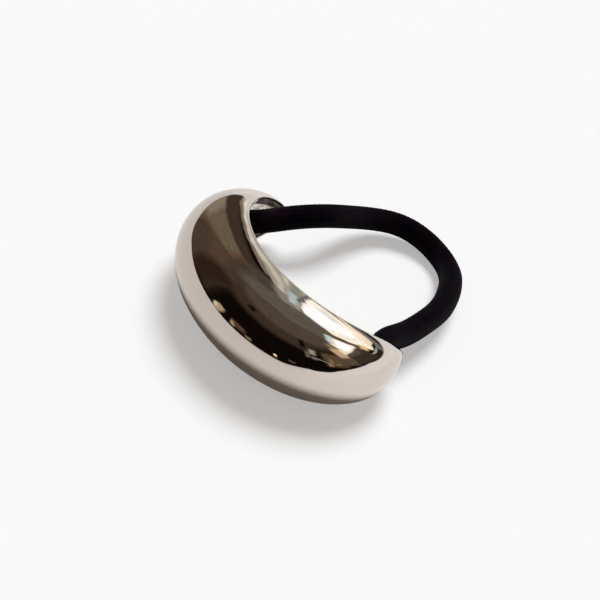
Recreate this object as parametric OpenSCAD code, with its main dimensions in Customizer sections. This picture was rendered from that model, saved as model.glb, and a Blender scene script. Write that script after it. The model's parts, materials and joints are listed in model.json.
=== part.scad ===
// Ponytail cuff: a thin dome-section metal C that covers the front of a ponytail, and the
// round elastic that closes it behind. It stands on a flat surface the way it comes to rest
// by itself, leaning back on the far end of its elastic.
// Axes: the middle of the C is towards -Y, its two ends are at -X and +X, the elastic goes
// round towards +Y and +Z is up. The origin is under the middle of the shell's own box.

/* [Shell] */
// Width of the C between the rims of its two ends
rim_width = 48; // [38:1:60]
// Depth of the C, from the line through its ends' centre to the rim at its middle
rim_depth = 20.5; // [16:0.5:26]
// Angle from the middle of the C to each of its ends
end_angle = 102; // [85:1:110]
// Height of the shell at its middle
shell_height = 21.5; // [18:0.5:28]
// How far the dome stands out from the rim at its middle
dome_depth = 13.3; // [11:0.1:18]
// Thickness of the metal
wall = 0.9; // [0.6:0.1:1.5]

/* [Shape of the shell] */
// How long the height stays full on its way to the ends, low for an early taper
height_hold = 2.4; // [1.8:0.1:3.5]
// How blunt the ends are, seen from the front
height_blunt = 1.65; // [1.3:0.05:3]
// How long the dome stays full on its way to the ends
dome_hold = 3; // [2:0.1:4]
// How blunt the dome's ends are, seen from above
dome_blunt = 0.85; // [0.7:0.05:2]
// How square the dome's section is, 2 for an ellipse
section_square = 2.2; // [2:0.1:3]

/* [Retaining bars] */
// Diameter of the two bars that hold the elastic inside the ends
bar_d = 1.6; // [1.2:0.1:2]
// Angle from the middle of the C to each bar
bar_angle = 60; // [50:1:66]
// How far each bar's axis stands behind the rim
bar_inset = 1.2; // [1:0.1:2]

/* [Elastic] */
// Diameter of the elastic
elastic_d = 5.5; // [4:0.1:6]

/* [Hidden] */

// Facets of the shell: stations from one end to the other, and steps from rim to rim
stations = 72;
section_steps = 20;
// Facets of the elastic: sides, and rings between two points of its route
elastic_sides = 12;
rings_per_point = 3;

// The inner surface follows the outer one a wall's thickness inside it, and ends that much
// short of each tip
outer = [rim_width / 2, rim_depth, shell_height / 2, dome_depth, end_angle];
inner = [rim_width / 2, rim_depth, shell_height / 2 - wall, dome_depth - wall,
    end_angle - wall / rim_depth * 180 / PI];

// Names of the places in those two lists
HALF_W = 0;
DEPTH = 1;
HALF_H = 2;
DOME = 3;
END = 4;

// Point of the rim's line seen from above, and the direction out of the C there
function plan(s, a) = [s[HALF_W] * sin(a), -s[DEPTH] * cos(a), 0];
function unit(v) = v / norm(v);
function outward(s, a) = unit([s[DEPTH] * sin(a), -s[HALF_W] * cos(a), 0]);

// Fullness left at a share t of the way from the middle to an end: 1 there and 0 at the end
function taper(t, hold, blunt) = pow(max(1 - pow(abs(t), hold), 0), 1 / blunt);
function half_height(s, t) = s[HALF_H] * taper(t, height_hold, height_blunt);
function dome(s, t) = s[DOME] * taper(t, dome_hold, dome_blunt);

// A superellipse's two coordinates at angle w, from the lower rim at -90 to the upper at 90
function out_share(w) = pow(abs(cos(w)), 2 / section_square);
function up_share(w) = sign(w) * pow(abs(sin(w)), 2 / section_square);

// Point of a surface at a share t along the C and an angle w round its section
function surface_point(s, t, w) =
    plan(s, t * s[END])
    + outward(s, t * s[END]) * dome(s, t) * out_share(w)
    + [0, 0, half_height(s, t) * up_share(w)];

// Stations crowd towards the tips, where the shell curves most
function station(i) = sin(-90 + 180 * i / stations);
function section_angle(j) = -90 + 180 * j / section_steps;

// One closed loop of points for each station between the tips: over the outside from the
// lower rim to the upper, and back over the inside
loop_points = 2 * (section_steps + 1);
function loop_at(t) = concat(
    [for (j = [0 : section_steps]) surface_point(outer, t, section_angle(j))],
    [for (j = [section_steps : -1 : 0]) surface_point(inner, t, section_angle(j))]
);
function tip(s, side) = plan(s, side * s[END]);

shell_points = concat(
    [for (i = [1 : stations - 1]) each loop_at(station(i))],
    [tip(outer, -1), tip(inner, -1), tip(outer, 1), tip(inner, 1)]
);

// Number of the point at place j of loop i, and the quads between neighbouring loops
function at(i, j) = i * loop_points + j % loop_points;
function band(i) = [for (j = [0 : loop_points - 1])
    [at(i, j), at(i, j + 1), at(i + 1, j + 1), at(i + 1, j)]];

// Cap from a loop to an end's two tips: fans over the outside and the inside, and the last
// two pieces of the rim
function cap(i, out_tip, in_tip) = concat(
    [for (j = [0 : section_steps - 1]) [out_tip, at(i, j + 1), at(i, j)]],
    [for (j = [section_steps + 1 : loop_points - 2]) [in_tip, at(i, j + 1), at(i, j)]],
    [[out_tip, in_tip, at(i, section_steps + 1), at(i, section_steps)],
     [in_tip, out_tip, at(i, 0), at(i, loop_points - 1)]]
);
function turned(faces) = [for (f = faces) [for (k = [len(f) - 1 : -1 : 0]) f[k]]];

last_loop = stations - 2;
first_tip = (stations - 1) * loop_points;
shell_faces = concat(
    [for (i = [0 : last_loop - 1]) each band(i)],
    cap(0, first_tip, first_tip + 1),
    turned(cap(last_loop, first_tip + 2, first_tip + 3))
);

// Route of the elastic's centre, close to the middle plane of the C: along its hidden stretch
// behind the bars, out at the -X end, round the back and in again at the +X end
route = [
    [0, -29, 0], [-7.5, -28.5, 0], [-16, -25, -0.5], [-24.5, -18.5, -2], [-26.5, -10, -2],
    [-24, -3.5, -1], [-20, 1.5, 3.5], [-18, 9, 5], [-19.5, 17, 3], [-20.5, 27.5, 1],
    [-17, 34.5, 1.5], [-10, 39, 0.5], [-1, 38.5, 0], [5.5, 33, 1], [12, 25, 1], [15, 17.5, 1],
    [18, 8.5, 0.5], [19.5, 0.5, 2.5], [25, -5, 2], [26.5, -12, 1], [24, -19, 0], [17.5, -24, -0.5],
    [9, -27.5, -0.5]
];

// Point of the smooth closed curve that the route draws along with it, a share u of the way
// from its point i to the next: a uniform cubic B-spline
function route_at(i) = route[(i + len(route)) % len(route)];
function blend(a, b, c, d, u) =
    (a * pow(1 - u, 3)
    + b * (3 * u * u * u - 6 * u * u + 4)
    + c * (-3 * u * u * u + 3 * u * u + 3 * u + 1)
    + d * u * u * u) / 6;
function along(i, u) =
    blend(route_at(i - 1), route_at(i), route_at(i + 1), route_at(i + 2), u);

rings = len(route) * rings_per_point;
centres = [for (i = [0 : len(route) - 1]) for (k = [0 : rings_per_point - 1])
    along(i, k / rings_per_point)];

// One ring of points round each centre, square to the route there
function ring_at(k) =
    let (
        ahead = unit(centres[(k + 1) % rings] - centres[(k + rings - 1) % rings]),
        side = unit(cross([0, 0, 1], ahead)),
        above = cross(ahead, side)
    )
    [for (j = [0 : elastic_sides - 1])
        centres[k] + elastic_d / 2
        * (side * cos(360 * j / elastic_sides) + above * sin(360 * j / elastic_sides))];
elastic_points = [for (k = [0 : rings - 1]) each ring_at(k)];
function on_ring(k, j) = (k % rings) * elastic_sides + j % elastic_sides;
elastic_faces = [for (k = [0 : rings - 1]) for (j = [0 : elastic_sides - 1])
    [on_ring(k, j), on_ring(k + 1, j), on_ring(k + 1, j + 1), on_ring(k, j + 1)]];

// The cuff leans back until the far end of its elastic comes down to the surface that the
// shell's lower rim stands on
function height_at(p, a) = p.z * cos(a) - p.y * sin(a);
function lowest(points, a) = min([for (p = points) height_at(p, a)]);
function lean_between(low, high, steps) =
    let (middle = (low + high) / 2)
    steps == 0 ? low
    : lowest(elastic_points, middle) > lowest(shell_points, middle)
        ? lean_between(middle, high, steps - 1)
        : lean_between(low, middle, steps - 1);
lean = lean_between(0, 30, 18);

// Its lowest point is at z = 0, and the shell's box is centred on X and Y
leant_y = [for (p = shell_points) p.y * cos(lean) + p.z * sin(lean)];
shift_y = -(min(leant_y) + max(leant_y)) / 2;
lift = -lowest(shell_points, lean);

module standing() {
    translate([0, shift_y, lift]) rotate([-lean, 0, 0]) children();
}

// Height to which a surface reaches at an angle along the C, at a depth behind the rim
function reach(s, a, depth) =
    half_height(s, a / s[END])
    * pow(1 - pow(depth / dome(s, a / s[END]), section_square), 1 / section_square);

// Plain round bar across the inside of one end, soldered into the middle of the wall
module retaining_bar(side) {
    half = (reach(outer, bar_angle, bar_inset) + reach(inner, bar_angle, bar_inset)) / 2;
    translate(plan(outer, side * bar_angle) + outward(outer, side * bar_angle) * bar_inset)
        cylinder(h = 2 * half, d = bar_d, center = true, $fn = 24);
}

module cuff_shell() {
    color("silver") standing() {
        polyhedron(points = shell_points, faces = shell_faces, convexity = 6);
        for (side = [-1, 1]) retaining_bar(side);
    }
}

module elastic_loop() {
    color([0.06, 0.055, 0.06]) standing()
        polyhedron(points = elastic_points, faces = elastic_faces, convexity = 4);
}

cuff_shell();
elastic_loop();
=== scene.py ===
import json
import math

import bmesh
import bpy
import numpy as np
from mathutils import Matrix, Vector


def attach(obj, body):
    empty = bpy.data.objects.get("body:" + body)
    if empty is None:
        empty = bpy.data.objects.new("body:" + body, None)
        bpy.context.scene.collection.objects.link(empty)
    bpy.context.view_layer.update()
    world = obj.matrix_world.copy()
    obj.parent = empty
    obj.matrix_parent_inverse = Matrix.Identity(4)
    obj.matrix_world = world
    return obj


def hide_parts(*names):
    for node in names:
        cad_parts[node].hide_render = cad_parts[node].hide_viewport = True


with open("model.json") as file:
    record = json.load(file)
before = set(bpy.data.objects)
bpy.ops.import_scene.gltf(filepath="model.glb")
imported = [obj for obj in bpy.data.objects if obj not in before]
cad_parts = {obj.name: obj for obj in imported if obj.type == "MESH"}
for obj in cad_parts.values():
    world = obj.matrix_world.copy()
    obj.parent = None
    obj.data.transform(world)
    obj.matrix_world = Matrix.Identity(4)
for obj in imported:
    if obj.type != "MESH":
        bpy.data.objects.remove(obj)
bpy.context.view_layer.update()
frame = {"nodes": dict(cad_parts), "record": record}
scene = bpy.context.scene
print("frame loaded:", ", ".join(sorted(frame["nodes"])))

# the cuff's own axes: the ponytail's axis is up, the elastic is behind, the C's centre is the origin
seat = next(m for m in frame["record"]["mounts"] if m["name"] == "ponytail_seat")
ringCentre = np.array(seat["pos_m"])
ringUp = np.array(seat["axis"]) / np.linalg.norm(seat["axis"])
ringBack = np.array([0.0, ringUp[2], -ringUp[1]])


# millimetres along the cuff's own axes, to metres in the frame: centre + x right + y back + z up
def place(points):
    points = np.asarray(points, dtype=float) * 0.001
    return (ringCentre + points[..., :1] * np.array([1.0, 0.0, 0.0])
            + points[..., 1:2] * ringBack + points[..., 2:3] * ringUp)


# unit vector towards a direction in degrees: azimuth 0 is the front at -Y, and 90 is +X
def towards(azimuth, elevation):
    azimuth, elevation = math.radians(azimuth), math.radians(elevation)
    return Vector((math.sin(azimuth) * math.cos(elevation), -math.cos(azimuth) * math.cos(elevation),
                   math.sin(elevation)))


# camera at the photo's angle: aim, distance and clipping in metres, angles in degrees, and the lens
# and sensor in millimetres
cameraView = {
    "aim": (-0.00114, 0.00917, 0.00434),
    "distance": 0.26955,
    "azimuth": 46.70,
    "elevation": 40.23,
    "roll": 18.16,
    "lens": 73.98,
    "sensorWidth": 36.0,
    "clipping": (0.005, 50.0),
}


# back points from the aim to the camera, and the picture is turned about it by the roll
def makeCamera(view):
    camera = bpy.data.objects.new("camera", bpy.data.cameras.new("camera"))
    scene.collection.objects.link(camera)
    back = towards(view["azimuth"], view["elevation"])
    right = towards(view["azimuth"] + 90, 0.0)
    turn = Matrix.Rotation(math.radians(view["roll"]), 3, back)
    right, above = turn @ right, turn @ back.cross(right)
    turned = Matrix((right, above, back)).transposed().to_4x4()
    camera.matrix_world = Matrix.Translation(Vector(view["aim"]) + back * view["distance"]) @ turned
    camera.data.lens = view["lens"]
    camera.data.sensor_width = view["sensorWidth"]
    camera.data.clip_start, camera.data.clip_end = view["clipping"]
    scene.camera = camera


makeCamera(cameraView)
print("camera made")


# a grid of points to a mesh: quads between neighbours, closed along the second index, and along the
# first too for a ring; uv holds each corner's pattern coordinates
def gridMesh(name, points, closeFirst=False, uv=None):
    rows, columns = points.shape[:2]
    i, j = np.meshgrid(np.arange(rows if closeFirst else rows - 1), np.arange(columns), indexing="ij")
    nextI, nextJ = (i + 1) % rows, (j + 1) % columns
    quads = np.stack([i * columns + j, nextI * columns + j, nextI * columns + nextJ,
                      i * columns + nextJ], axis=-1).reshape(-1, 4)
    mesh = bpy.data.meshes.new(name)
    mesh.vertices.add(rows * columns)
    mesh.vertices.foreach_set("co", points.reshape(-1))
    mesh.loops.add(quads.size)
    mesh.loops.foreach_set("vertex_index", quads.reshape(-1))
    mesh.polygons.add(len(quads))
    mesh.polygons.foreach_set("loop_start", np.arange(0, quads.size, 4))
    mesh.update(calc_edges=True)
    if uv is not None:
        u0, v0, u1, v1 = uv[0][i], uv[1][j], uv[0][i + 1], uv[1][j + 1]
        corners = np.stack([u0, v0, u1, v0, u1, v1, u0, v1], axis=-1).reshape(-1)
        mesh.uv_layers.new(name="patternMap").data.foreach_set("uv", corners)
    mesh.shade_smooth()
    return mesh


# merges what lies on one spot, such as a pole, and turns every face outwards
def closeMesh(mesh, apart=1e-6):
    work = bmesh.new()
    work.from_mesh(mesh)
    bmesh.ops.remove_doubles(work, verts=work.verts, dist=apart)
    bmesh.ops.recalc_face_normals(work, faces=work.faces)
    work.to_mesh(mesh)
    work.free()


# a mesh as a piece of the model under the root body: the CAD node that it stands for, which is hidden, and
# its material
def addPiece(name, mesh, node, material):
    piece = bpy.data.objects.new(name, mesh)
    scene.collection.objects.link(piece)
    mesh.materials.append(material)
    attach(piece, "root")
    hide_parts(node)
    return piece


def addNode(tree, kind, **settings):
    node = tree.nodes.new(kind)
    for key, value in settings.items():
        setattr(node, key, value)
    return node


def setInputs(node, **values):
    for key, value in values.items():
        node.inputs[key.replace("_", " ")].default_value = value


# each value goes into its socket: a number or a tuple is set on it, and another socket is linked
def feed(tree, sockets, values):
    for socket, value in zip(sockets, values):
        if isinstance(value, (int, float, tuple)):
            socket.default_value = value
        else:
            tree.links.new(value, socket)


# a sum on one to three sockets or numbers, giving the socket of the result
def calc(tree, operation, *values):
    node = addNode(tree, "ShaderNodeMath", operation=operation)
    feed(tree, node.inputs, values)
    return node.outputs[0]


# the same on vectors or colours, each a socket or three numbers
def calcVector(tree, operation, *values):
    node = addNode(tree, "ShaderNodeVectorMath", operation=operation)
    feed(tree, node.inputs, values)
    return node.outputs[0]


# value from low..high to a..b, with smooth ends
def remap(tree, value, low, high, a=0.0, b=1.0, smooth=True):
    node = addNode(tree, "ShaderNodeMapRange", interpolation_type="SMOOTHSTEP" if smooth else "LINEAR")
    feed(tree, node.inputs, (value, low, high, a, b))
    return node.outputs[0]


# factor from one colour to the other; each is a socket or an rgb
def mixColour(tree, factor, a, b):
    node = addNode(tree, "ShaderNodeMix", data_type="RGBA")
    a, b = ((*colour, 1.0) if isinstance(colour, tuple) else colour for colour in (a, b))
    feed(tree, (node.inputs[0], node.inputs[6], node.inputs[7]), (factor, a, b))
    return node.outputs[2]


def addNoise(tree, where, **values):
    node = addNode(tree, "ShaderNodeTexNoise")
    setInputs(node, **values)
    tree.links.new(where, node.inputs["Vector"])
    return node


# relief in millimetres, as a bump on the shader's normal
def addRelief(tree, relief, shader):
    bump = addNode(tree, "ShaderNodeBump")
    setInputs(bump, Strength=1.0, Distance=0.001)
    tree.links.new(relief, bump.inputs["Height"])
    tree.links.new(bump.outputs[0], shader.inputs["Normal"])


def newMaterial(name):
    material = bpy.data.materials.new(name)
    material.use_nodes = True
    return material, material.node_tree, material.node_tree.nodes["Principled BSDF"]


# a shader group from its inputs (label, kind, value) and outputs (label, kind)
def newGroup(name, inputs, outputs):
    group = bpy.data.node_groups.new(name, "ShaderNodeTree")
    for label, kind, value in inputs:
        socket = group.interface.new_socket(label, in_out="INPUT", socket_type="NodeSocket" + kind)
        if value is not None:
            socket.default_value = value
    for label, kind in outputs:
        group.interface.new_socket(label, in_out="OUTPUT", socket_type="NodeSocket" + kind)
    return group, group.nodes.new("NodeGroupInput").outputs, group.nodes.new("NodeGroupOutput").inputs


def useGroup(tree, group, **values):
    node = addNode(tree, "ShaderNodeGroup", node_tree=group)
    feed(tree, [node.inputs[key] for key in values], values.values())
    return node.outputs


# handling marks: soft blotches where fingers have been, hairlines drawn out along one axis, and a
# long wave; each edge is the noise's range from no mark to a full one
handling = {
    "smudgeEdge": (0.44, 0.68),
    "hairlineEdge": (0.60, 0.74),
    "drawnOut": (0.06, 0.5, 1.0),
    "drawnTurn": (0.15, 0.1, 0.35),
    "wave": 150.0,
}


def makeHandlingMarks(look):
    group, given, result = newGroup(
        "handlingMarks",
        [("Vector", "Vector", None), ("Blotches", "Float", 70.0), ("Hairlines", "Float", 2600.0)],
        [("Smudge", "Float"), ("Hairline", "Float"), ("Waviness", "Float")])
    blotch = addNoise(group, given["Vector"], Detail=4.0, Roughness=0.6, Distortion=0.5)
    group.links.new(given["Blotches"], blotch.inputs["Scale"])
    group.links.new(remap(group, blotch.outputs[0], *look["smudgeEdge"]), result["Smudge"])
    drawn = addNode(group, "ShaderNodeMapping")
    setInputs(drawn, Scale=look["drawnOut"], Rotation=look["drawnTurn"])
    group.links.new(given["Vector"], drawn.inputs["Vector"])
    hair = addNoise(group, drawn.outputs[0], Detail=3.0, Roughness=0.55)
    group.links.new(given["Hairlines"], hair.inputs["Scale"])
    group.links.new(remap(group, hair.outputs[0], *look["hairlineEdge"]), result["Hairline"])
    wave = addNoise(group, given["Vector"], Scale=look["wave"], Detail=1.0, Roughness=0.4)
    group.links.new(wave.outputs[0], result["Waviness"])
    return group


handlingMarks = makeHandlingMarks(handling)


# polished plating outside, and the duller, slightly pitted inside that the innerSide mask tells apart
def makePolishedMetal():
    look = {
        "plating": (0.661, 0.591, 0.534),
        "smudge": (0.617, 0.567, 0.515),
        "inside": (0.97, 0.94, 0.88),
        "tarnish": (0.34, 0.315, 0.275),
        "blotches": 70.0,
        "hairlines": 2600.0,
        "pits": 620.0,
        "stains": 330.0,
        "stainEdge": (0.47, 0.60),
        "smudgeShare": 0.25,
        "roughness": 0.022,
        "smudgeRoughness": 0.055,
        "hairlineRoughness": 0.05,
        "insideRoughness": 0.30,
        "stainRoughness": 0.12,
        "waveRelief": 0.0035,
        "hairlineRelief": -0.0002,
        "pitRelief": 0.05,
        "insideDulled": 0.8,
    }
    material, tree, shader = newMaterial("polishedMetal")
    where = addNode(tree, "ShaderNodeTexCoord").outputs["Object"]
    inner = addNode(tree, "ShaderNodeAttribute", attribute_name="innerSide").outputs["Fac"]
    marks = useGroup(tree, handlingMarks, Vector=where, Blotches=look["blotches"],
                     Hairlines=look["hairlines"])
    pits = addNoise(tree, where, Scale=look["pits"], Detail=4.0, Roughness=0.6, Distortion=0.4)
    stain = addNoise(tree, where, Scale=look["stains"], Detail=3.0, Roughness=0.6)
    stained = remap(tree, stain.outputs[0], *look["stainEdge"])
    insideColour = mixColour(tree, stained, look["inside"], look["tarnish"])
    smudged = calc(tree, "MULTIPLY", marks["Smudge"], look["smudgeShare"])
    outsideColour = mixColour(tree, smudged, look["plating"], look["smudge"])
    tree.links.new(mixColour(tree, inner, outsideColour, insideColour), shader.inputs["Base Color"])
    outsideRough = calc(tree, "MULTIPLY_ADD", marks["Smudge"],
                        look["smudgeRoughness"] - look["roughness"], look["roughness"])
    outsideRough = calc(tree, "MULTIPLY_ADD", marks["Hairline"], look["hairlineRoughness"], outsideRough)
    insideRough = calc(tree, "MULTIPLY_ADD", stained, look["stainRoughness"], look["insideRoughness"])
    rough = calc(tree, "MULTIPLY_ADD", inner, calc(tree, "SUBTRACT", insideRough, outsideRough),
                 outsideRough)
    tree.links.new(rough, shader.inputs["Roughness"])
    # relief in millimetres: a long faint wave and hairlines outside, pits inside
    outsideRelief = calc(tree, "MULTIPLY_ADD", marks["Waviness"], look["waveRelief"],
                         calc(tree, "MULTIPLY", marks["Hairline"], look["hairlineRelief"]))
    insideRelief = calc(tree, "MULTIPLY", pits.outputs[0], look["pitRelief"])
    relief = calc(tree, "MULTIPLY_ADD", inner, calc(tree, "SUBTRACT", insideRelief, outsideRelief),
                  outsideRelief)
    addRelief(tree, relief, shader)
    dulled = calc(tree, "MULTIPLY_ADD", inner, -look["insideDulled"], 1.0)
    tree.links.new(dulled, shader.inputs["Metallic"])
    return material


polishedMetal = makePolishedMetal()
print("metal finish made")

# shell: sizes in millimetres and angles in degrees
cuffShell = {
    "rimWidth": 48.0,
    "rimDepth": 20.5,
    "endAngle": 102.0,
    "height": 21.5,
    "domeDepth": 13.3,
    "wall": 0.9,
    "heightHold": 2.4,
    "heightBlunt": 1.65,
    "domeHold": 3.0,
    "domeBlunt": 0.85,
    "sectionSquare": 2.2,  # the CAD section's power, for how far a bar reaches
    "squareness": 0.064,  # the same here, as a push towards a square
    "rimRounding": 0.42,
    "stations": 341,
    "outerSteps": 124,
    "innerSteps": 84,
    "lipSteps": 10,
}


# fullness left at a share t of the way to an end: (1 - |t|^hold)^(1/blunt)
def taper(t, hold, blunt):
    return np.maximum(1 - np.abs(t) ** hold, 0) ** (1 / blunt)


# rim line at angle a round the C, and the direction out of it: an ellipse and its normal
def rimLine(angle, shell):
    halfWidth, depth = shell["rimWidth"] / 2, shell["rimDepth"]
    line = np.stack([halfWidth * np.sin(angle), -depth * np.cos(angle), 0 * angle], axis=-1)
    outward = np.stack([depth * np.sin(angle), -halfWidth * np.cos(angle), 0 * angle], axis=-1)
    return line, outward / np.linalg.norm(outward, axis=-1, keepdims=True)


# one side of the wall: rim line + outward x dome depth x cos w + up x half height x sin w, both
# pushed a little towards a square; inset is how far it lies inside the outer side
def wallSide(t, w, shell, inset=0.0):
    endAngle = math.radians(shell["endAngle"]) - inset / shell["rimDepth"]
    line, outward = rimLine(t * endAngle, shell)
    dome = (shell["domeDepth"] - inset) * taper(t, shell["domeHold"], shell["domeBlunt"])
    half = (shell["height"] / 2 - inset) * taper(t, shell["heightHold"], shell["heightBlunt"])
    edge = shell["rimRounding"] * dome / (dome + shell["rimRounding"])
    out = np.cos(w) * (1 + shell["squareness"] * np.sin(w) ** 2)
    up = np.sin(w) * (1 + shell["squareness"] * np.cos(w) ** 2)
    point = line + outward * (edge + (dome - edge) * out)[..., None]
    point[..., 2] = half * up
    return point, outward, edge


# rounded lip between two lines of points: a half ellipse that bulges towards the middle of the C
def roundedLip(start, finish, outward, edge, steps):
    u = np.linspace(0, 1, steps + 1)[1:-1][None, :, None]
    share = (1 - np.cos(np.pi * u)) / 2
    return start + (finish - start) * share - outward * edge[..., None] * np.sin(np.pi * u)


# the wall in one closed grid: stations crowd towards the two tips, and each goes round the section
# over the outside, the upper lip, the inside and the lower lip
def makeShell(shell):
    t = np.sin(np.linspace(-1, 1, shell["stations"]) * np.pi / 2)[:, None]
    wOut = np.linspace(-np.pi / 2, np.pi / 2, shell["outerSteps"] + 1)[None, :]
    wIn = np.linspace(np.pi / 2, -np.pi / 2, shell["innerSteps"] + 1)[None, :]
    tOut, wOut = np.broadcast_arrays(t, wOut)
    tIn, wIn = np.broadcast_arrays(t, wIn)
    outer, outward, edge = wallSide(tOut, wOut, shell)
    inner, _, _ = wallSide(tIn, wIn, shell, shell["wall"])
    upper = roundedLip(outer[:, -1:], inner[:, :1], outward[:, :1], edge[:, :1], shell["lipSteps"])
    lower = roundedLip(inner[:, -1:], outer[:, :1], outward[:, :1], edge[:, :1], shell["lipSteps"])
    parts = [outer, upper, inner, lower]
    mesh = gridMesh("cuffShell", place(np.concatenate(parts, axis=1)))
    # mask of the inner side: 1 inside, 0 outside and on both lips
    mask = np.concatenate([np.full(part.shape[1], part is inner) for part in parts])
    layer = mesh.attributes.new("innerSide", "FLOAT", "POINT")
    layer.data.foreach_set("value", np.tile(mask, shell["stations"]).astype(np.float32))
    closeMesh(mesh)
    return addPiece("cuffShell", mesh, "cuff_shell", polishedMetal)


makeShell(cuffShell)
print("shell made")

# retaining bars: sizes in millimetres, and the angle from the middle of the C
retainingBars = {
    "diameter": 1.6,
    "angle": 60.0,
    "inset": 1.2,
    "solderWidth": 0.75,
    "solderHeight": 0.55,
    "sides": 40,
    "steps": 90,
    "innerSide": 0.6,
}


# half height of one side of the wall at a depth behind the rim:
# half height x (1 - (depth / dome)^square)^(1/square)
def reach(shell, t, depth, inset):
    dome = (shell["domeDepth"] - inset) * taper(t, shell["domeHold"], shell["domeBlunt"])
    half = (shell["height"] / 2 - inset) * taper(t, shell["heightHold"], shell["heightBlunt"])
    square = shell["sectionSquare"]
    return half * (1 - (depth / dome) ** square) ** (1 / square)


# a bar: radius carried along its axis, with a fillet of solder that swells as the square of the
# nearness to the wall
def makeBars(bars, shell):
    t = bars["angle"] / shell["endAngle"]
    innerReach = float(reach(shell, t, bars["inset"], shell["wall"]))
    half = (innerReach + float(reach(shell, t, bars["inset"], 0.0))) / 2
    z = np.sin(np.linspace(-1, 1, bars["steps"]) * np.pi / 2) * half
    nearness = np.clip(1 - (innerReach - np.abs(z)) / bars["solderHeight"], 0, 1)
    radius = bars["diameter"] / 2 + bars["solderWidth"] * nearness ** 2
    z, radius = np.append(np.insert(z, 0, -half), half), np.append(np.insert(radius, 0, 0.0), 0.0)
    around = np.linspace(0, 2 * np.pi, bars["sides"], endpoint=False)[None, :]
    meshes = []
    for side in (-1, 1):
        line, outward = rimLine(np.array(side * math.radians(bars["angle"])), shell)
        axis = line + outward * bars["inset"]
        points = np.stack([axis[0] + radius[:, None] * np.cos(around),
                           axis[1] + radius[:, None] * np.sin(around),
                           np.broadcast_to(z[:, None], (len(z), bars["sides"]))], axis=-1)
        meshes.append(gridMesh("bar", place(points)))
    whole = bmesh.new()
    for mesh in meshes:
        whole.from_mesh(mesh)
    mesh = bpy.data.meshes.new("retainingBars")
    whole.to_mesh(mesh)
    whole.free()
    layer = mesh.attributes.new("innerSide", "FLOAT", "POINT")
    layer.data.foreach_set("value", np.full(len(mesh.vertices), bars["innerSide"], dtype=np.float32))
    closeMesh(mesh)
    return addPiece("retainingBars", mesh, "cuff_shell", polishedMetal)


makeBars(retainingBars, cuffShell)
print("bars made")

# elastic: lengths in millimetres, so many wales of knit round it and courses along it, and the
# route point that its first course is at
elasticLoop = {
    "diameter": 5.5,
    "wales": 16,
    "courses": 174,
    "perWale": 6,
    "perCourse": 6,
    "perRoutePoint": 40,
    "pathStep": 4,
    "relief": 0.11,
    "meanRelief": 0.75,
    "ribBlunt": 0.7,
    "stitchShare": 0.38,
    "chevron": 0.32,
    "start": 6,
    "clearance": 0.02,
}

# the elastic's route, point by point as in part.scad, in millimetres along the cuff's own axes
elasticRoute = np.array([
    [0, -29, 0], [-7.5, -28.5, 0], [-16, -25, -0.5], [-24.5, -18.5, -2], [-26.5, -10, -2],
    [-24, -3.5, -1], [-20, 1.5, 3.5], [-18, 9, 5], [-19.5, 17, 3], [-20.5, 27.5, 1],
    [-17, 34.5, 1.5], [-10, 39, 0.5], [-1, 38.5, 0], [5.5, 33, 1], [12, 25, 1], [15, 17.5, 1],
    [18, 8.5, 0.5], [19.5, 0.5, 2.5], [25, -5, 2], [26.5, -12, 1], [24, -19, 0], [17.5, -24, -0.5],
    [9, -27.5, -0.5],
])


# point of the smooth closed line at p route points from the first: a uniform cubic B-spline
def alongRoute(p, route):
    i, u = np.floor(p).astype(int), (p - np.floor(p))[:, None]
    a, b, c, d = (route[(i + k) % len(route)] for k in (-1, 0, 1, 2))
    return (a * (1 - u) ** 3 + b * (3 * u ** 3 - 6 * u ** 2 + 4)
            + c * (-3 * u ** 3 + 3 * u ** 2 + 3 * u + 1) + d * u ** 3) / 6


# yarn cover: each wale is a rib across, cos(across)^blunt, and its stitches are chevrons along it,
# a cosine of course + chevron x across that is half a stitch on in every second wale
def knitHeight(course, wale, loop):
    across = np.abs((wale % 1) * 2 - 1)
    rib = np.cos(across * np.pi / 2) ** loop["ribBlunt"]
    stitch = 0.5 + 0.5 * np.cos(2 * np.pi * (course + loop["chevron"] * across + 0.5 * np.floor(wale)))
    return rib * (1 - loop["stitchShare"] + loop["stitchShare"] * stitch)


# the loop: rings of the knit's height round the route, square to it, equal steps apart along it
def makeElastic(loop, route):
    p = np.linspace(0, len(route), loop["perRoutePoint"] * len(route) + 1) + loop["start"]
    line = alongRoute(p, route)
    run = np.concatenate([[0], np.cumsum(np.linalg.norm(np.diff(line, axis=0), axis=1))])
    rings, sides = loop["courses"] * loop["perCourse"], loop["wales"] * loop["perWale"]
    centre = alongRoute(np.interp(np.arange(rings) * run[-1] / rings, run, p), route)
    ahead = np.roll(centre, -1, axis=0) - np.roll(centre, 1, axis=0)
    ahead /= np.linalg.norm(ahead, axis=1, keepdims=True)
    side = np.cross([0.0, 0.0, 1.0], ahead)
    side /= np.linalg.norm(side, axis=1, keepdims=True)
    above = np.cross(ahead, side)
    course = np.arange(rings + 1) / loop["perCourse"]
    wale = np.arange(sides + 1) / loop["perWale"]
    height = knitHeight(course[:-1, None], wale[None, :-1], loop)
    radius = (loop["diameter"] / 2 + loop["relief"] * (height - loop["meanRelief"]))[..., None]
    angle = (2 * np.pi * wale[:-1] / loop["wales"])[None, :, None]
    points = place(centre[:, None, :] + radius
                   * (side[:, None, :] * np.cos(angle) + above[:, None, :] * np.sin(angle)))
    points[..., 2] = np.maximum(points[..., 2], loop["clearance"] * 0.001)  # never under the surface
    mesh = gridMesh("elasticLoop", points, closeFirst=True, uv=(course, wale))
    closeMesh(mesh, apart=1e-8)
    elastic = addPiece("elasticLoop", mesh, "elastic_loop", makeElasticCover())
    print("elastic length mm:", round(run[-1], 1))
    return elastic


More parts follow.
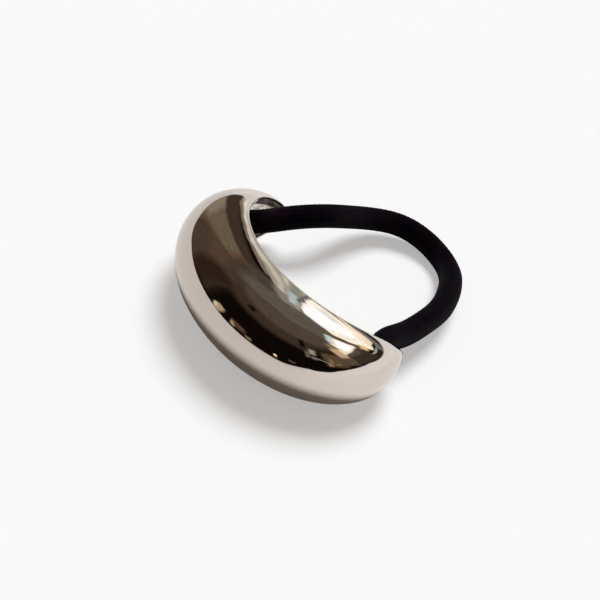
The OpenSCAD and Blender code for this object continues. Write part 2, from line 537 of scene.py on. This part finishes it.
# matte black yarn: twisted strands along the chevrons, lighter worn tips, a soft sheen of lint
def makeElasticCover():
    look = {
        "yarn": (0.0032, 0.0009, 0.0022),
        "yarnTwo": (0.0014, 0.0010, 0.0030),
        "worn": (0.0044, 0.0032, 0.0050),
        "strandsPerCourse": 4.0,
        "strandSlant": 0.9,
        "lint": 4200.0,
        "wear": 420.0,
        "wearEdge": (0.45, 0.70),
        "lintWorn": 0.8,
        "strandWorn": 0.4,
        "dye": 260.0,
        "dyeEdge": (0.42, 0.58),
        "roughness": 0.82,
        "lintRoughness": 0.12,
        "strandRelief": 0.035,
        "lintRelief": 0.05,
        "specular": 0.03,
        "sheen": 0.04,
        "sheenRoughness": 0.45,
        "sheenTint": (0.78, 0.72, 0.84, 1.0),
    }
    material, tree, shader = newMaterial("elasticCover")
    pattern = addNode(tree, "ShaderNodeUVMap", uv_map="patternMap").outputs[0]
    where = addNode(tree, "ShaderNodeTexCoord").outputs["Object"]
    split = addNode(tree, "ShaderNodeSeparateXYZ")
    tree.links.new(pattern, split.inputs[0])
    across = calc(tree, "ABSOLUTE", calc(tree, "MULTIPLY_ADD", calc(tree, "FRACT", split.outputs[1]),
                                         2.0, -1.0))
    along = calc(tree, "MULTIPLY", split.outputs[0], look["strandsPerCourse"])
    strand = calc(tree, "MULTIPLY_ADD", across, look["strandSlant"], along)
    strand = calc(tree, "SINE", calc(tree, "MULTIPLY", strand, 2 * math.pi))
    strand = calc(tree, "MULTIPLY_ADD", strand, 0.5, 0.5)
    lint = addNoise(tree, where, Scale=look["lint"], Detail=4.0, Roughness=0.7)
    wear = addNoise(tree, where, Scale=look["wear"], Detail=3.0, Roughness=0.6)
    tips = calc(tree, "MULTIPLY_ADD", lint.outputs[0], look["lintWorn"],
                calc(tree, "MULTIPLY", strand, look["strandWorn"]))
    worn = calc(tree, "MULTIPLY", remap(tree, wear.outputs[0], *look["wearEdge"]), tips)
    dye = addNoise(tree, where, Scale=look["dye"], Detail=2.0, Roughness=0.6)
    dyed = remap(tree, dye.outputs[0], *look["dyeEdge"])
    yarn = mixColour(tree, dyed, look["yarn"], look["yarnTwo"])
    tree.links.new(mixColour(tree, worn, yarn, look["worn"]), shader.inputs["Base Color"])
    rough = calc(tree, "MULTIPLY_ADD", lint.outputs[0], look["lintRoughness"], look["roughness"])
    tree.links.new(rough, shader.inputs["Roughness"])
    relief = calc(tree, "MULTIPLY_ADD", strand, look["strandRelief"],
                  calc(tree, "MULTIPLY", lint.outputs[0], look["lintRelief"]))
    addRelief(tree, relief, shader)
    setInputs(shader, Sheen_Weight=look["sheen"], Sheen_Roughness=look["sheenRoughness"],
              Sheen_Tint=look["sheenTint"], Specular_IOR_Level=look["specular"])
    return material


makeElastic(elasticLoop, elasticRoute)
print("elastic made")


# a colour as it's seen on a screen, 0 to 255, as the light it stands for
def tone(red, green, blue):
    return tuple(round(((c / 255 + 0.055) / 1.055) ** 2.4 if c > 10 else c / 255 / 12.92, 4)
                 for c in (red, green, blue))


# room that the metal mirrors, as light by direction, with angles in degrees: the backdrop that the
# camera sees, the ambient light on dull things, and for the plating a pale sweep below the patches,
# dimmer at one side
room = {
    "backdrop": (0.95, 0.95, 0.95),
    "ambient": (0.236, 0.203, 0.180),
    "shade": tone(12, 8, 5),
    "sweep": (1.02, 1.03, 1.04),
    "sweepDim": (0.765, 0.75, 0.745),
    "dimTurn": 60.0,
    "dimEdge": (-0.5, 1.1),
    "edgeSoftness": (-0.6, 1.8),
    "noiseRange": (0.3, 0.7),
    "wobble": 6.0,
    "wobbleTurn": 1.2,
    "wobbleHeight": 1.0,
    "mottle": 16.0,
    "mottleRange": (0.84, 1.16),
    "grit": 38.0,
    "gritShare": 0.6,
    "gain": (1.482, 1.619, 1.772),
}

# upper edge of the pale sweep that the cuff lies on, as azimuth and elevation
sweepEdge = [(-180, 19), (-168, 16), (-160, 13), (-154, 15), (-144, 22), (-136, 17), (-132, 9),
             (-127, 4), (-122, 2), (-113, 3), (-102, 4), (-93, 4), (-85, 1.5), (-72, -0.5), (-62, -2.5),
             (-50, -9), (44, -9), (50, -6), (60, -3.5), (68, 0.5), (80, 4.5), (90, 10), (100, 14),
             (116, 18), (134, 22), (150, 20), (180, 19)]

# things in the room, each a soft-edged patch of the sky of directions, later ones over earlier ones:
# name, azimuth, elevation, half width, half height, lean, softness, colour
roomPatches = [
    ("ceiling", 0, 90, 181, 34, 0, 22, tone(77, 66, 54)),
    ("ceilingGrey", -150, 78, 70, 22, 0, 18, tone(90, 83, 72)),
    ("ceilingFoot", 0, 50, 72, 9, 0, 14, tone(58, 46, 37)),
    ("wall", -88, 26, 34, 30, 0, 14, tone(70, 56, 45)),
    ("wallLight", -107, 22, 12, 26, 0, 10, tone(102, 88, 70)),
    ("wallGlow", -110, 10, 9, 7, 0, 8, tone(128, 115, 97)),
    ("wallWarm", -80, 40, 12, 9, 0, 12, tone(82, 63, 48)),
    ("wallLamp", -57, 30, 7, 6, 0, 8, tone(72, 54, 36)),
    ("wallDim", -47, 22, 14, 24, 0, 14, tone(44, 31, 24)),
    ("wallPleat", -38, 20, 2.5, 20, 0, 5, tone(50, 39, 34)),
    ("ledge", -106, 48, 9, 0.8, 0, 2.5, tone(98, 73, 54)),
    ("column", -122.6, 24, 5.2, 26, 0.05, 3, tone(60, 47, 38)),
    ("columnTop", -122, 54, 9, 6, 0, 6, tone(70, 62, 54)),
    ("windowOne", -168, 45, 22, 15, -0.12, 3, tone(252, 242, 222)),
    ("windowOneCore", -161, 49, 12.5, 11, 0, 6, (1.05, 1.05, 1.05)),
    ("windowOnePeach", -173, 33, 9, 3, -0.2, 5, tone(250, 232, 206)),
    ("windowOneFoot", -162.5, 27, 10, 5, -2.3, 3, tone(242, 222, 192)),
    ("windowOneGrey", -155, 37, 4, 2.5, 0, 4, tone(226, 224, 214)),
    ("windowOneGold", 168, 40, 5, 4, 0, 4, tone(228, 190, 138)),
    ("windowOneOlive", 161, 41, 2, 3.5, 0, 3, tone(128, 102, 56)),
    ("mullion", 168, 54, 5, 10, 0.6, 3, tone(98, 80, 60)),
    ("windowCorner", -145, 57, 5, 5, -0.9, 2.5, tone(112, 113, 107)),
    ("windowOneSill", 167, 29.3, 3.5, 4.5, -3.1, 3, tone(172, 172, 164)),
    ("sillDark", 165, 23.5, 16, 2.6, 0, 3, tone(38, 36, 29)),
    ("sillGrey", -168, 22, 13, 3, 0, 4, tone(118, 112, 102)),
    ("curtain", -138.3, 30, 7, 32, -0.12, 2.5, tone(160, 150, 136)),
    ("curtainTop", -138, 57, 7, 6, 0, 7, tone(126, 122, 112)),
    ("curtainOlive", -143.2, 36, 2, 8, 0, 2.5, tone(136, 138, 126)),
    ("curtainBlue", -143, 51, 2.4, 7, 0, 3, tone(176, 186, 187)),
    ("curtainFold", -136.8, 40, 1.5, 11, -0.1, 2, tone(190, 181, 165)),
    ("curtainFoldTwo", -140.5, 34, 0.8, 4, 0, 1.2, tone(192, 185, 172)),
    ("curtainFoot", -133.2, 29, 1.8, 6, -0.25, 1.6, tone(196, 188, 173)),
    ("curtainHem", -130.4, 28, 1.2, 18, -0.08, 1.5, tone(124, 110, 92)),
    ("curtainSeam", -132.4, 19, 1.35, 12, 0, 1.3, tone(208, 200, 187)),
    ("windowFrame", -146.3, 40, 0.9, 9, 0.07, 1.4, tone(94, 94, 90)),
    ("windowTwo", 144, 56, 18.5, 8.5, 0, 4, tone(248, 236, 214)),
    ("windowTwoCore", 146, 56, 13, 5, 0, 4, (1.05, 1.05, 1.05)),
    ("windowTwoSky", 150, 65.5, 16, 2.4, 0, 4, tone(198, 210, 206)),
    ("tanShade", 117, 62, 9, 4, 0, 5, tone(122, 106, 86)),
    ("tanBoard", 112, 49, 8, 9.5, 0, 6, tone(190, 162, 130)),
    ("tanLight", 123, 51, 4, 5, 0, 4, tone(238, 216, 188)),
    ("brownBoard", 91, 33, 13, 14, 0, 8, tone(88, 70, 49)),
    ("brownMiddle", 113, 32, 9, 9, 0, 8, tone(88, 73, 58)),
    ("brownLight", 82.5, 23, 2.8, 4.5, 0, 3, tone(130, 110, 82)),
    ("brownLightTwo", 85.5, 32, 2.5, 3, 0, 3, tone(122, 106, 84)),
    ("brownGlint", 92, 25, 3, 1.8, 0, 3, tone(128, 110, 88)),
    ("darkShelf", 141, 35, 20, 11, 0, 5, tone(56, 47, 38)),
    ("shelfTop", 139, 45, 16, 3.2, 0, 4, tone(86, 72, 60)),
    ("greyBlotch", 65.5, 42, 3.4, 5.5, 0.2, 4, tone(150, 140, 124)),
    ("greyBlotchTwo", 59, 34.5, 2.4, 7, 0, 4, tone(100, 94, 78)),
    ("greyBlotchThree", 66, 30, 3.2, 2.6, 0, 3, tone(116, 107, 90)),
    ("greyStreak", 74, 29, 1.6, 2.2, -2, 2, tone(150, 144, 130)),
    ("darkPost", 55, 54, 4.5, 7, 0, 4, tone(14, 10, 7)),
    ("darkLamp", -14, 53, 5, 3.6, 0, 3, tone(22, 16, 10)),
    ("ornament", -22, -1.5, 3.2, 6.6, 0.25, 3, tone(170, 144, 110)),
    ("ornamentLight", -25, -1.5, 1.4, 3.6, 0.1, 2, tone(206, 194, 172)),
    ("ornamentFoot", -4, 1, 6, 4.4, 0, 4, tone(84, 60, 43)),
    ("ornamentBox", -8.6, -2, 2, 3, 0, 2, tone(154, 130, 104)),
    ("ornamentTray", 6, -4, 3, 1.6, 0, 2, tone(122, 108, 86)),
    ("farLight", 43, 1.5, 3, 1.6, 0, 2, tone(80, 76, 68)),
    ("lamp", 28.6, -2, 1.5, 1.5, 0, 1.4, (1.05, 0.88, 0.52)),
    ("lampFoot", 29.5, -4.6, 1.4, 1.4, 0, 1.6, tone(168, 112, 50)),
]


# one patch over what is under it: how near the direction is to the patch's middle, in azimuth that
# wraps round and in elevation, each with a soft edge, and the two multiplied
def makeRoomPatch():
    group, given, result = newGroup(
        "roomPatch",
        [("Under", "Color", None), ("Azimuth", "Float", 0.0), ("Elevation", "Float", 0.0),
         ("Middle Azimuth", "Float", 0.0), ("Middle Elevation", "Float", 0.0),
         ("Half Width", "Float", 10.0), ("Half Height", "Float", 10.0), ("Lean", "Float", 0.0),
         ("Softness", "Float", 3.0), ("Colour", "Color", None)],
        [("Over", "Color")])
    high = calc(group, "SUBTRACT", given["Elevation"], given["Middle Elevation"])
    wide = calc(group, "SUBTRACT", given["Azimuth"],
                calc(group, "MULTIPLY_ADD", given["Lean"], high, given["Middle Azimuth"]))
    wide = calc(group, "WRAP", wide, 180.0, -180.0)
    soft = calc(group, "MULTIPLY", given["Softness"], 0.5)
    masks = []
    for away, extent in ((wide, given["Half Width"]), (high, given["Half Height"])):
        masks.append(remap(group, calc(group, "ABSOLUTE", away), calc(group, "ADD", extent, soft),
                           calc(group, "SUBTRACT", extent, soft)))
    mask = calc(group, "MULTIPLY", *masks)
    group.links.new(mixColour(group, mask, given["Under"], given["Colour"]), result["Over"])
    return group


# how far a point or direction lies to the bright side: x cos turn + y sin turn
def brightSide(tree, xyz, turn):
    turn = math.radians(turn)
    return calc(tree, "MULTIPLY_ADD", xyz[0], math.cos(turn), calc(tree, "MULTIPLY", xyz[1], math.sin(turn)))


# the room's light: patches over the shade, with grit, under a sweep, as glossy rays see them
def makeRoom(look):
    world = bpy.data.worlds.new("studio")
    scene.world = world
    world.use_nodes = True
    tree = world.node_tree
    background = tree.nodes["Background"]
    direction = addNode(tree, "ShaderNodeTexCoord").outputs["Generated"]
    wobble = addNoise(tree, direction, Scale=look["wobble"], Detail=3.0, Roughness=0.5)
    shake = addNode(tree, "ShaderNodeSeparateXYZ")
    tree.links.new(wobble.outputs["Color"], shake.inputs[0])
    split = addNode(tree, "ShaderNodeSeparateXYZ")
    tree.links.new(direction, split.inputs[0])
    azimuth = calc(tree, "DEGREES", calc(tree, "ARCTAN2", split.outputs[0],
                                         calc(tree, "MULTIPLY", split.outputs[1], -1.0)))
    elevation = calc(tree, "DEGREES", calc(tree, "ARCSINE", split.outputs[2]))
    wobbleTurn, wobbleHeight, noiseRange = look["wobbleTurn"], look["wobbleHeight"], look["noiseRange"]
    turned = remap(tree, shake.outputs[0], *noiseRange, -wobbleTurn, wobbleTurn, False)
    raised = remap(tree, shake.outputs[1], *noiseRange, -wobbleHeight, wobbleHeight, False)
    azimuth = calc(tree, "ADD", azimuth, turned)
    wobbled = calc(tree, "ADD", elevation, raised)
    patchGroup = makeRoomPatch()
    labels = ("Middle Azimuth", "Middle Elevation", "Half Width", "Half Height", "Lean", "Softness")
    colour = (*look["shade"], 1.0)
    for _, *numbers, tint in roomPatches:
        colour = useGroup(tree, patchGroup, Under=colour, Azimuth=azimuth, Elevation=wobbled,
                          Colour=(*tint, 1.0), **dict(zip(labels, numbers)))["Over"]
    # mottle, then finer grit that also turns the hue: each channel times 1 + share x (its noise - 0.5)
    mottle = addNoise(tree, direction, Scale=look["mottle"], Detail=5.0, Roughness=0.65)
    mottled = remap(tree, mottle.outputs[0], *noiseRange, *look["mottleRange"], False)
    grit = addNoise(tree, direction, Scale=look["grit"], Detail=2.0, Roughness=0.6)
    hueShare = look["gritShare"]
    hue = calcVector(tree, "MULTIPLY_ADD", grit.outputs["Color"], (hueShare,) * 3, (1 - hueShare / 2,) * 3)
    bright = calcVector(tree, "MULTIPLY", calcVector(tree, "MULTIPLY", colour, mottled), hue)
    bright = calcVector(tree, "MULTIPLY", bright, look["gain"])
    # the sweep's edge as a graph over azimuth, where black is the lowest height and white the highest
    edge = addNode(tree, "ShaderNodeValToRGB")
    ramp, lowest, span = edge.color_ramp, -10.0, 100.0
    for k, (turn, height) in enumerate(sweepEdge):
        position, grey = (turn + 180) / 360, (height - lowest) / span
        stop = ramp.elements[k] if k < 2 else ramp.elements.new(position)
        stop.position, stop.color = position, (grey, grey, grey, 1.0)
    tree.links.new(remap(tree, azimuth, -180.0, 180.0, smooth=False), edge.inputs[0])
    edgeHeight = calc(tree, "MULTIPLY_ADD", edge.outputs[0], span, lowest)
    sweepMask = remap(tree, calc(tree, "SUBTRACT", edgeHeight, elevation), *look["edgeSoftness"])
    side = brightSide(tree, split.outputs, look["dimTurn"])
    sweep = mixColour(tree, remap(tree, side, *look["dimEdge"]), look["sweepDim"], look["sweep"])
    seen = mixColour(tree, sweepMask, bright, sweep)
    path = addNode(tree, "ShaderNodeLightPath")
    seen = mixColour(tree, path.outputs["Is Glossy Ray"], look["ambient"], seen)
    seen = mixColour(tree, path.outputs["Is Camera Ray"], seen, look["backdrop"])
    tree.links.new(seen, background.inputs["Color"])
    world.cycles.sampling_method = "NONE"


makeRoom(room)
print("room made")

# floor: a pale card in metres; for what the metal mirrors it carries painted shade at one side and ends in
# front of the cuff; away from the middle that edge recedes or comes nearer by so much for each metre
floorLook = {
    "size": 3.0,
    "colour": (0.86, 0.86, 0.86),
    # painted shade on the card as the metal mirrors it: its colour, and where it fades in towards the bright
    # side
    "paintedShadeColour": (0.703, 0.70, 0.70),
    "dimEdge": (0.05, -0.05),
    "glow": 0.42,
    "glowColour": (0.95, 0.95, 0.95),
    "edge": 0.104,
    "recedeLeft": 0.35,
    "nearRight": 0.5,
    "cornerRight": 0.06,
    "recedeRight": 1.07,
    "edgeSoftness": (-0.014, 0.004),
}


def makeFloor(look):
    half = look["size"] / 2
    mesh = bpy.data.meshes.new("floor")
    mesh.from_pydata([(-half, -half, 0), (half, -half, 0), (half, half, 0), (-half, half, 0)], [],
                     [(0, 1, 2, 3)])
    floor = bpy.data.objects.new("floor", mesh)
    scene.collection.objects.link(floor)
    material, tree, shader = newMaterial("floorCard")
    setInputs(shader, Roughness=0.9, Specular_IOR_Level=0.0)
    # how far in front of the card's edge: -y - edge - recession x what lies past each corner
    split = addNode(tree, "ShaderNodeSeparateXYZ")
    tree.links.new(addNode(tree, "ShaderNodeTexCoord").outputs["Object"], split.inputs[0])
    x, y = split.outputs[0], split.outputs[1]
    left = calc(tree, "MAXIMUM", calc(tree, "MULTIPLY", x, -1.0), 0.0)
    right = calc(tree, "MAXIMUM", calc(tree, "SUBTRACT", x, look["cornerRight"]), 0.0)
    beyond = calc(tree, "MULTIPLY_ADD", y, -1.0, -look["edge"])
    beyond = calc(tree, "MULTIPLY_ADD", left, -look["recedeLeft"], beyond)
    beyond = calc(tree, "MULTIPLY_ADD", right, -look["recedeRight"], beyond)
    beyond = calc(tree, "MULTIPLY_ADD", calc(tree, "MAXIMUM", x, 0.0), look["nearRight"], beyond)
    paths = addNode(tree, "ShaderNodeLightPath").outputs
    mirrored = paths["Is Glossy Ray"]
    # painted shade: only in what the metal mirrors, the card is darker at one side, where less light falls
    side = brightSide(tree, split.outputs, room["dimTurn"])
    dim = calc(tree, "MULTIPLY", remap(tree, side, *look["dimEdge"]), mirrored)
    card = mixColour(tree, dim, look["colour"], look["paintedShadeColour"])
    # to the camera the card shines a little through its shadows: light x (1 - glow) + glow
    seen = calc(tree, "MULTIPLY", paths["Is Camera Ray"], look["glow"])
    tree.links.new(mixColour(tree, seen, card, (0.0, 0.0, 0.0)), shader.inputs["Base Color"])
    shader.inputs["Emission Color"].default_value = (*look["glowColour"], 1.0)
    tree.links.new(seen, shader.inputs["Emission Strength"])
    gone = calc(tree, "MULTIPLY", remap(tree, beyond, *look["edgeSoftness"]), mirrored)
    tree.links.new(calc(tree, "SUBTRACT", 1.0, gone), shader.inputs["Alpha"])
    mesh.materials.append(material)


makeFloor(floorLook)
print("floor made")


# lamp that shines from its direction onto a point, and that neither the camera nor the plating sees
def addLamp(lamp, look, target=(0.0, 0.0, 0.0), distance=0.0):
    lamp.energy, lamp.color = look["strength"], look["colour"]
    body = bpy.data.objects.new(lamp.name, lamp)
    scene.collection.objects.link(body)
    source = towards(look["azimuth"], look["elevation"])
    body.location = Vector(target) + source * distance
    body.rotation_mode = "QUATERNION"
    body.rotation_quaternion = (-source).to_track_quat("-Z", "Y")
    body.visible_glossy = False
    body.visible_camera = False


# soft daylight from behind: direction that it comes from and angle of its disc in degrees
daylight = {
    "azimuth": 216.0,
    "elevation": 62.5,
    "spread": 30.0,
    "strength": 3.24,
    "colour": (0.960, 0.984, 1.0),
}


def makeDaylight(look):
    lamp = bpy.data.lights.new("daylight", "SUN")
    lamp.angle = math.radians(look["spread"])
    addLamp(lamp, look)


makeDaylight(daylight)

# narrow beam of a window that falls inside the -X end: the point that it falls on and its lamp's
# distance, width and radius in metres, and the direction that it comes from in degrees
windowBeam = {
    "target": (-0.0277, 0.0122, 0.0081),
    "azimuth": 95.0,
    "elevation": 46.0,
    "distance": 0.25,
    "width": 0.0062,
    "blend": 0.3,
    "lampRadius": 0.003,
    "strength": 4.7,
    "colour": (1.0, 0.965, 0.90),
}


def makeWindowBeam(look):
    lamp = bpy.data.lights.new("windowBeam", "SPOT")
    lamp.spot_size = 2 * math.atan(look["width"] / 2 / look["distance"])
    lamp.spot_blend = look["blend"]
    lamp.shadow_soft_size = look["lampRadius"]
    addLamp(lamp, look, look["target"], look["distance"])


makeWindowBeam(windowBeam)
scene.view_settings.view_transform = "Standard"
print("lamps made")
